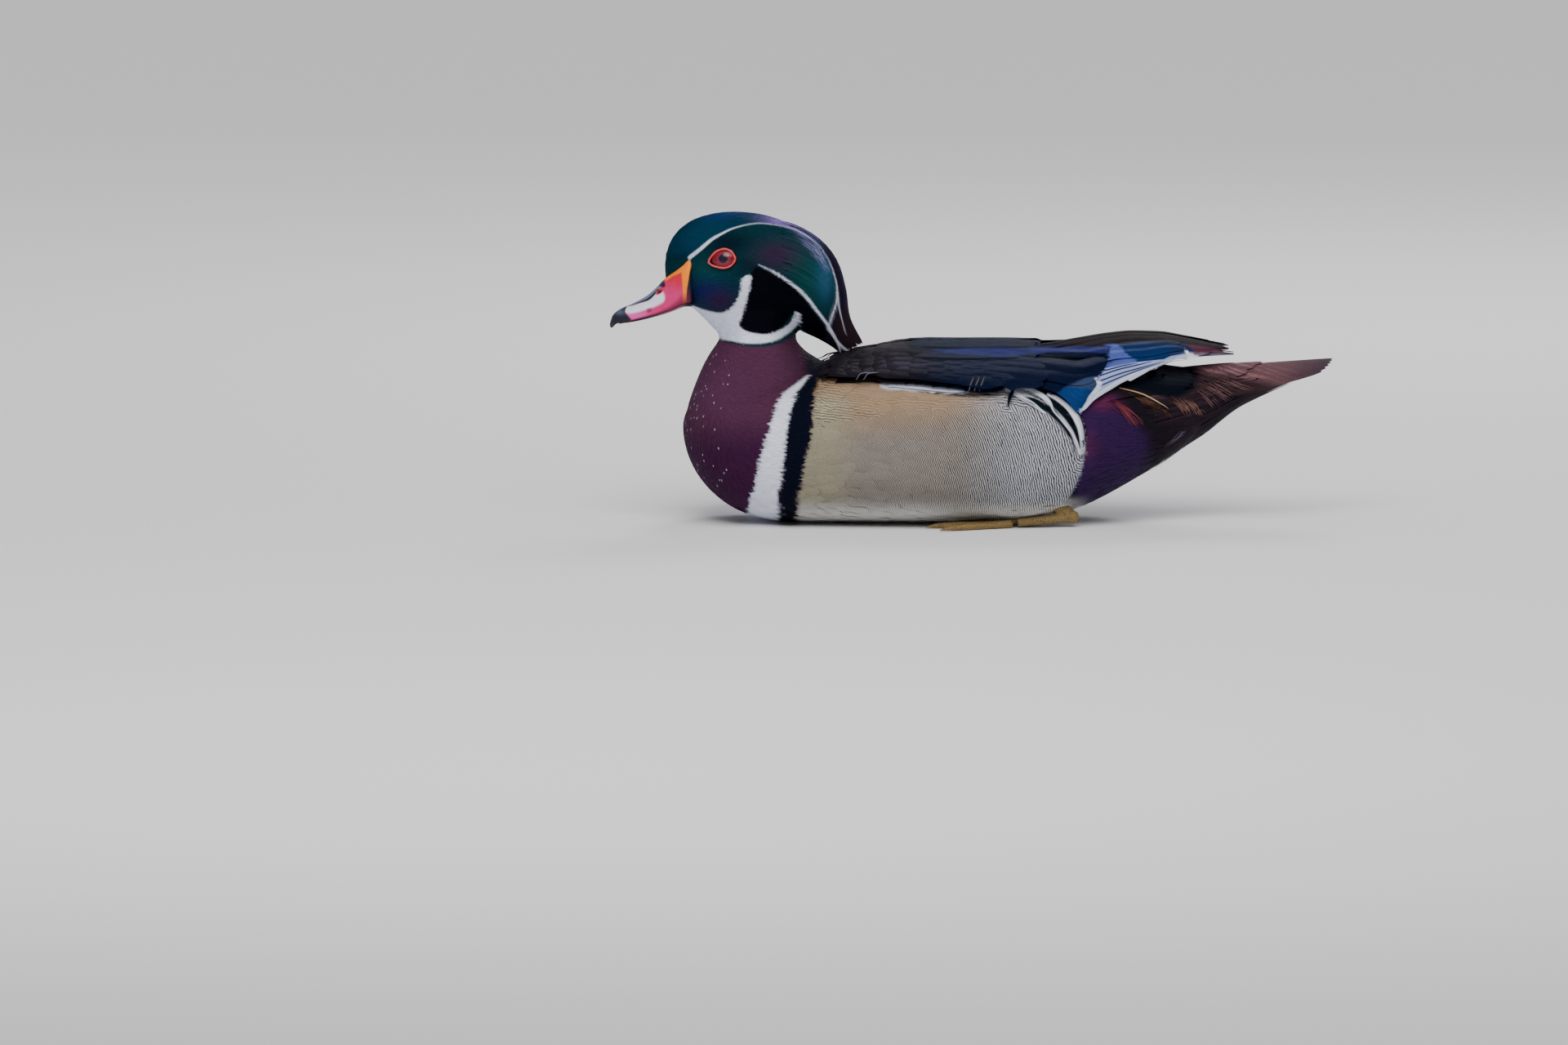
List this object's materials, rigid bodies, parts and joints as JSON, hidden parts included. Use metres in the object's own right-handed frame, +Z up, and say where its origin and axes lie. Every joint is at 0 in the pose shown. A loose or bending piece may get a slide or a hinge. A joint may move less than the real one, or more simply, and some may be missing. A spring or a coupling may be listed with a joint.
{
  "type": "wood duck drake",
  "caption": "Life-size drake wood duck as a still museum model, afloat in pose and resting on its belly with its feet tucked under.",
  "frame": {"origin": "middle of the bird's length and breadth, on the floor that its belly and feet rest on", "axes": "-X to the bill's tip, +X to the tail's tip, -Y the bird's left side, +Z up"},
  "size_m": [0.4018, 0.14, 0.1737],
  "materials": {
    "head": "short glossy feathers, green to violet sheen",
    "bill": "satin horn, red, white, black and yellow",
    "bill_lower": "satin dark horn",
    "eye": "polished, red iris and dark pupil",
    "breast": "chestnut feathers with small white marks",
    "flank": "buff feathers with fine dark wavy bars",
    "rump": "dark feathers, maroon at the sides",
    "tail": "dark brown feathers",
    "wing": "glossy dark blue and green feathers",
    "leg": "dull yellow scaled skin"
  },
  "bodies": {
    "root": {"head": "head", "crest": "head", "bill_upper": "bill", "bill_lower": "bill_lower", "eye_left": "eye", "eye_right": "eye", "neck": "breast", "breast": "breast", "torso": "flank", "rump": "rump", "tail": "tail", "wing_left": "wing", "wing_right": "wing", "leg_left": "leg", "leg_right": "leg", "foot_left": "leg", "foot_right": "leg"}
  },
  "joints": []
}
